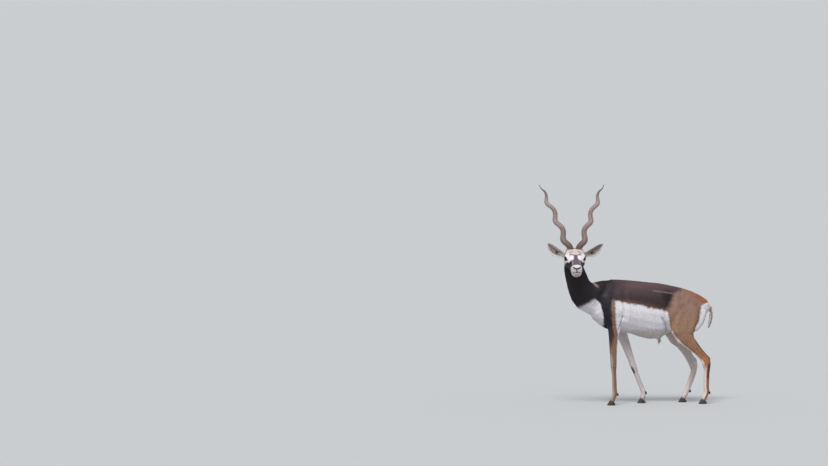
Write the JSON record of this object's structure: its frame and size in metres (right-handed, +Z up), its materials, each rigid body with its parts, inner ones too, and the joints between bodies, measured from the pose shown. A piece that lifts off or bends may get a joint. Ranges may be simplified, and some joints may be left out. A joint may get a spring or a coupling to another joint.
{
  "type": "life-size standing blackbuck model",
  "caption": "Still life-size model of an adult male blackbuck antelope, standing in a slow walk with its head turned to its left.",
  "frame": {"origin": "middle of the bottom of the bounding box, at floor level, between the hooves", "axes": "+Z up, the animal faces -X, its left side is -Y"},
  "size_m": [1.1238, 0.3778, 1.398],
  "materials": {
    "coat": "short glossy hair, near-black and brown above, white below",
    "horn": "ringed horn, satin, paler towards the tips",
    "hoof": "dark hoof horn, satin",
    "eye": "dark brown iris under a clear wet cornea"
  },
  "bodies": {
    "root": {"trunk": "coat", "neck": "coat", "head": "coat", "tail": "coat", "ear_left": "coat", "ear_right": "coat", "eye_left": "eye", "eye_right": "eye", "horn_left": "horn", "horn_right": "horn", "fore_left_forearm": "coat", "fore_left_cannon": "coat", "fore_left_pastern": "coat", "hoof_fore_left_outer": "hoof", "hoof_fore_left_inner": "hoof", "dewclaw_fore_left_outer": "hoof", "dewclaw_fore_left_inner": "hoof", "fore_right_forearm": "coat", "fore_right_cannon": "coat", "fore_right_pastern": "coat", "hoof_fore_right_outer": "hoof", "hoof_fore_right_inner": "hoof", "dewclaw_fore_right_outer": "hoof", "dewclaw_fore_right_inner": "hoof", "hind_left_thigh": "coat", "hind_left_shank": "coat", "hind_left_cannon": "coat", "hind_left_pastern": "coat", "hoof_hind_left_outer": "hoof", "hoof_hind_left_inner": "hoof", "dewclaw_hind_left_outer": "hoof", "dewclaw_hind_left_inner": "hoof", "hind_right_thigh": "coat", "hind_right_shank": "coat", "hind_right_cannon": "coat", "hind_right_pastern": "coat", "hoof_hind_right_outer": "hoof", "hoof_hind_right_inner": "hoof", "dewclaw_hind_right_outer": "hoof", "dewclaw_hind_right_inner": "hoof"}
  },
  "joints": []
}
